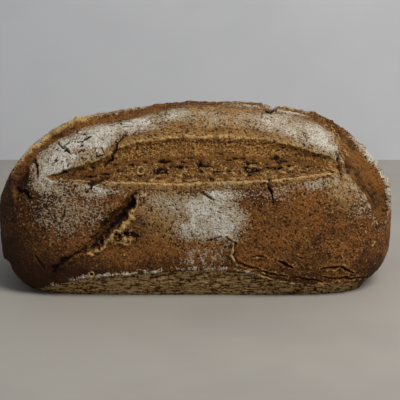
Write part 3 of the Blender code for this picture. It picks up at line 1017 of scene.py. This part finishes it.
GRAINS = {  # sizes are radii in metres
    "flour_grains": {"Layer": "flour", "Per square metre": 420000.0, "Smallest": 0.00018, "Largest": 0.00042,
                     "Proportions": (1.0, 0.8, 0.5), "Seed": 3, "Finish": finishes["rye_flour"]},
    "bran_flakes": {"Layer": "bake", "Per square metre": 4500.0, "Smallest": 0.0005, "Largest": 0.0011,
                    "Proportions": (1.0, 0.6, 0.2), "Seed": 5, "Finish": finishes["bran_flake"]},
    "crumb_shreds": {"Layer": "crumb", "Per square metre": 260000.0, "Smallest": 0.00035, "Largest": 0.0010,
                     "Proportions": (1.0, 0.55, 0.4), "Seed": 8, "Finish": finishes["crumb_shred"]},
}
flour_grains, bran_flakes, crumb_shreds = [grains_on_loaf(name, GRAINS[name]) for name in GRAINS]

# %% [markdown]
# ## The studio
#
# A plain counter and a pale wall, a big soft lamp high on the right as from a window, and a weak even fill.
# The wall shows only its front, so that it doesn't hide the loaf when it is looked at from behind.

# %% Counter and wall: stone and paint, both matt and nearly even in tone
WALL_AT = 0.34  # metres behind the middle of the loaf
REACH = 4  # metres that the counter and the wall run to each side
WALL_TALL = 3
BROAD = (160, 160, 160)
counter_finish = two_toned("pale_counter", BROAD, 0.7, "#9e9a94", 0.4, 0.6, "#a5a19a")
wall_finish = two_toned("painted_wall", BROAD, 0.7, "#d2d6dc", 0.4, 0.6, "#d6dae0")
wall_tree = wall_finish.node_tree
clear = node(wall_tree, "ShaderNodeBsdfTransparent").outputs[0]
from_behind = node(wall_tree, "ShaderNodeNewGeometry").outputs["Backfacing"]
seen = node(wall_tree, "ShaderNodeMixShader",
            {0: from_behind, 1: wall_tree.nodes["Principled BSDF"].outputs[0], 2: clear}).outputs[0]
wall_tree.links.new(seen, wall_tree.nodes["Material Output"].inputs[0])


def sheet_of(name, near, far, finish):
    """A sheet as wide as the stage, from one (y, z) line to another."""
    corners = [(-REACH, *near), (REACH, *near), (REACH, *far), (-REACH, *far)]
    mesh = bpy.data.meshes.new(name)
    mesh.from_pydata(corners, [], [range(4)])
    mesh.materials.append(finish)
    sheet = put_in_scene(name, mesh)


sheet_of("counter", (-REACH, 0), (WALL_AT, 0), counter_finish)
sheet_of("wall", (WALL_AT, -0.02), (WALL_AT, WALL_TALL), wall_finish)

# %% Camera: a long lens from 15 degrees above
AIM = Vector((0.0028, 0.0, 0.0508))
AWAY = 0.90  # metres from the camera to where it aims
TILT = math.radians(15)
camera = put_in_scene("camera", bpy.data.cameras.new("camera"))
camera.data.lens = 115.2
camera.data.clip_start = 0.01
camera.location = AIM + AWAY * Vector((0, -math.cos(TILT), math.sin(TILT)))
camera.rotation_euler = (math.pi / 2 - TILT, 0, 0)
bpy.context.scene.camera = camera

# %% Lamps and an even fill
# (name, place, aimed at, size in metres, watts, colour)
LAMPS = [("window", (0.60, -0.56, 1.10), (0, 0, 0.05), 0.7, 15.5, "#fffaf4"),
         ("back_fill", (-0.4, 1.1, 1.1), (0, 0, 0.05), 1.0, 8.0, "#f4f7ff")]
for name, place, target, side, watts, colour in LAMPS:
    lamp = put_in_scene(name, bpy.data.lights.new(name, "AREA"))
    lamp.data.size = side
    lamp.data.energy = watts
    lamp.data.color = linear(colour)[:3]
    lamp.location = place
    lamp.rotation_euler = (Vector(target) - Vector(place)).to_track_quat("-Z", "Y").to_euler()
world = bpy.data.worlds.new("even_fill")
world.use_nodes = True
world.node_tree.nodes["Background"].inputs["Color"].default_value = linear("#e8ecf2")
world.node_tree.nodes["Background"].inputs["Strength"].default_value = 0.24
bpy.context.scene.world = world
bpy.context.scene.view_settings.view_transform = "Standard"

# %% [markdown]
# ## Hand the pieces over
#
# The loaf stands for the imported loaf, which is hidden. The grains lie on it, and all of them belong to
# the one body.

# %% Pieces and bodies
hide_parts("loaf")
for piece in (loaf, flour_grains, bran_flakes, crumb_shreds):
    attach(piece, "root")
